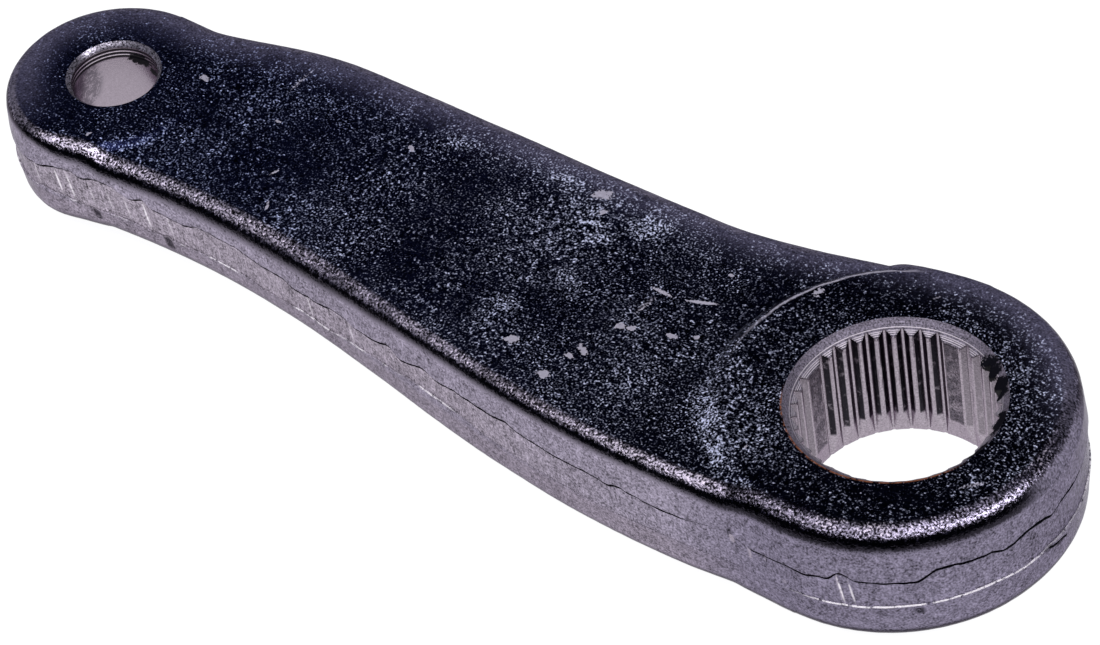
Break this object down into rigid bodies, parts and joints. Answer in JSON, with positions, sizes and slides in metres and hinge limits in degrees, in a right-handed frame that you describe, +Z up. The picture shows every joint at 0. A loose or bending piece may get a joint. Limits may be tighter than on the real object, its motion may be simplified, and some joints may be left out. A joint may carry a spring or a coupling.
{
  "type": "pitman arm",
  "caption": "Forged steel steering lever with a serrated shaft bore in its thick boss and a tapered stud hole in its slim boss.",
  "frame": {"origin": "on the shaft bore's axis, at the bottom face of the shaft boss", "axes": "+Z up along the shaft bore towards the nut side, +X from the shaft bore towards the stud hole"},
  "size_m": [0.2022, 0.0596, 0.0234],
  "materials": {
    "black_coat": "thin worn black coat over forged steel, satin on the sides and dusty on the faces, bare where it is machined"
  },
  "bodies": {
    "root": {"pitman_arm": "black_coat"}
  },
  "joints": []
}
